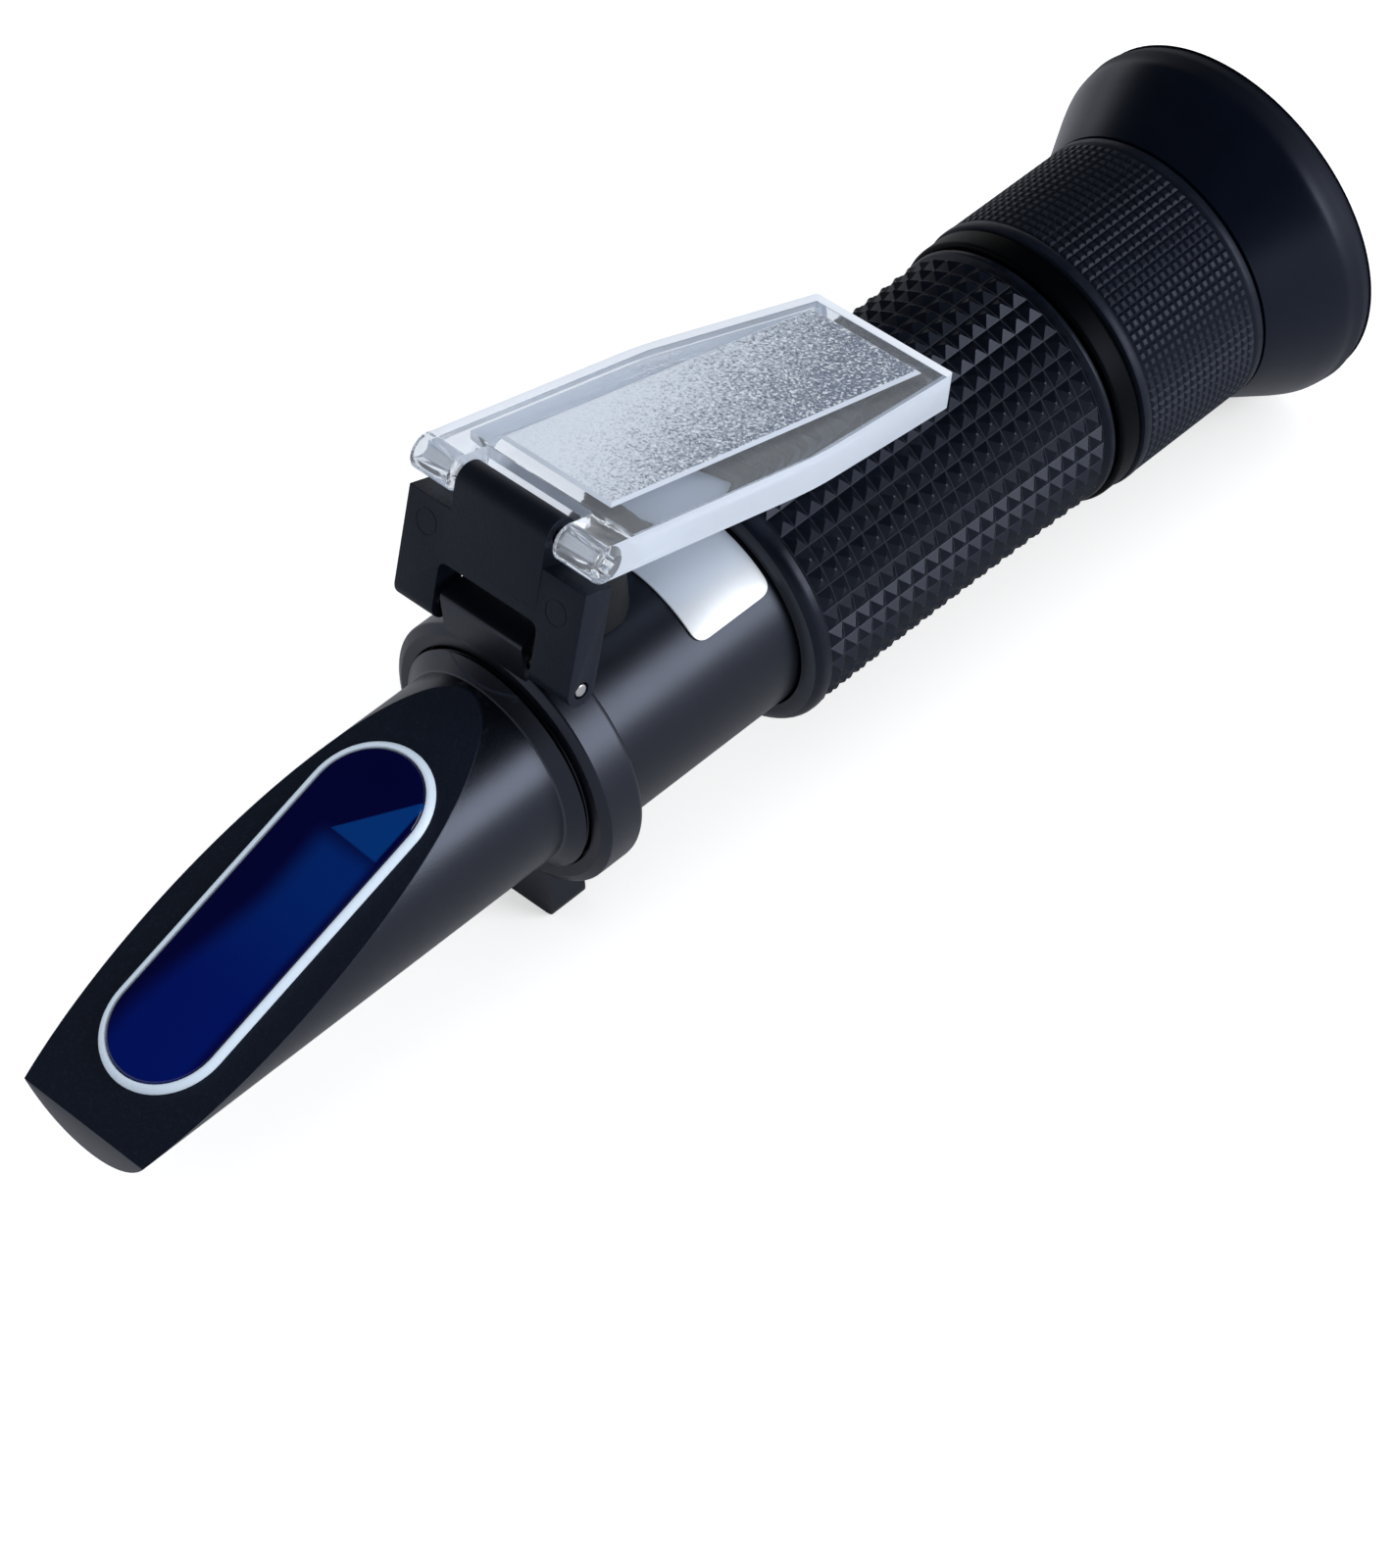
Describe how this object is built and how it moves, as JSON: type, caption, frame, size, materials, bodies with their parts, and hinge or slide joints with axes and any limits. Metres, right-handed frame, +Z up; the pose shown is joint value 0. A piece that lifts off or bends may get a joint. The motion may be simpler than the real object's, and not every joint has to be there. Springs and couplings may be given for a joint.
{
  "type": "handheld refractometer",
  "caption": "Tube-shaped handheld refractometer with a slanted prism face, a hinged clear daylight plate, a knurled grip and a focusing eyepiece with a flared eyecup.",
  "frame": {"origin": "centre of the bounding box in plan, at the level of the foot lug under the hinge collar", "axes": "+X from the prism end to the eyecup, along the optical axis; +Z up, the prism and daylight plate on top; +Y to the right of a user who looks in at the eyecup from the rear with +Z up"},
  "size_m": [0.16, 0.0402, 0.0508],
  "materials": {
    "satin_black": "satin",
    "matte_black": "matte, fine texture",
    "gloss_black": "gloss",
    "black_rubber": "matte",
    "clear_plastic": "clear, with a frosted panel",
    "optical_glass": "polished",
    "blue_glass": "polished, blue-black",
    "white_seal": "satin",
    "label_silver": "satin",
    "bright_steel": "polished",
    "brass": "machined",
    "black_aluminium": "anodised, matte"
  },
  "bodies": {
    "instrument": {"prism_housing": "satin_black", "measuring_prism": "blue_glass", "prism_seal": "white_seal", "prism_baffle": "satin_black", "hinge_collar": "satin_black", "collar_screw": "bright_steel", "arm_pin": "bright_steel", "main_tube": "satin_black", "label_plate": "label_silver", "screw_bush": "brass", "screw_o_ring": "black_rubber", "grip_sleeve": "satin_black", "eyepiece_guide": "black_aluminium", "reticle_disc": "optical_glass", "reticle_retainer": "satin_black", "eyepiece_collar": "gloss_black"},
    "arm": {"flap_arm": "matte_black", "plate_pin": "bright_steel"},
    "plate": {"daylight_plate": "clear_plastic"},
    "cap": {"calibration_cap": "black_rubber"},
    "adjuster": {"calibration_screw": "brass"},
    "objective": {"adjusting_slide": "black_aluminium", "bimetal_strip": "brass", "strip_screw_front": "bright_steel", "strip_screw_rear": "bright_steel", "objective_holder": "black_aluminium", "objective_lens": "optical_glass", "objective_retainer": "satin_black"},
    "eyepiece": {"eyepiece_tube": "black_aluminium", "eyepiece_o_ring": "black_rubber", "field_lens": "optical_glass", "lens_spacer": "satin_black", "eye_lens": "optical_glass", "eye_lens_retainer": "satin_black"},
    "focus": {"focus_ring": "satin_black", "eyecup": "gloss_black"}
  },
  "joints": [
    {"name": "arm_swing", "type": "hinge", "parent": "instrument", "child": "arm", "pos_m": [-0.0241, 0, 0.03575], "axis": [0, -1, 0], "range_deg": [0, 128.7]},
    {"name": "plate_swing", "type": "hinge", "parent": "arm", "child": "plate", "pos_m": [-0.01949, 0, 0.04876], "axis": [0, -1, 0], "range_deg": [0, 85]},
    {"name": "cap_lift", "type": "slide", "parent": "instrument", "child": "cap", "axis": [0, 0, 1], "range_m": [0, 0.005]},
    {"name": "adjuster_turn", "type": "hinge", "parent": "instrument", "child": "adjuster", "pos_m": [-0.0135, 0, 0.0324], "axis": [0, 0, 1], "range_deg": [-90, 90]},
    {"name": "objective_shift", "type": "slide", "parent": "instrument", "child": "objective", "axis": [1, 0, 0], "range_m": [-0.0004, 0.0004]},
    {"name": "eyepiece_travel", "type": "slide", "parent": "instrument", "child": "eyepiece", "axis": [1, 0, 0], "range_m": [0, 0.004]},
    {"name": "focus_turn", "type": "hinge", "parent": "eyepiece", "child": "focus", "pos_m": [0.06, 0, 0.0202], "axis": [1, 0, 0], "range_deg": [0, 360]}
  ],
  "couplings": [
    {"joint": "adjuster_turn", "follows": "objective_shift", "rad_per_m": 3926},
    {"joint": "eyepiece_travel", "follows": "focus_turn", "m_per_rad": 0.000636}
  ]
}
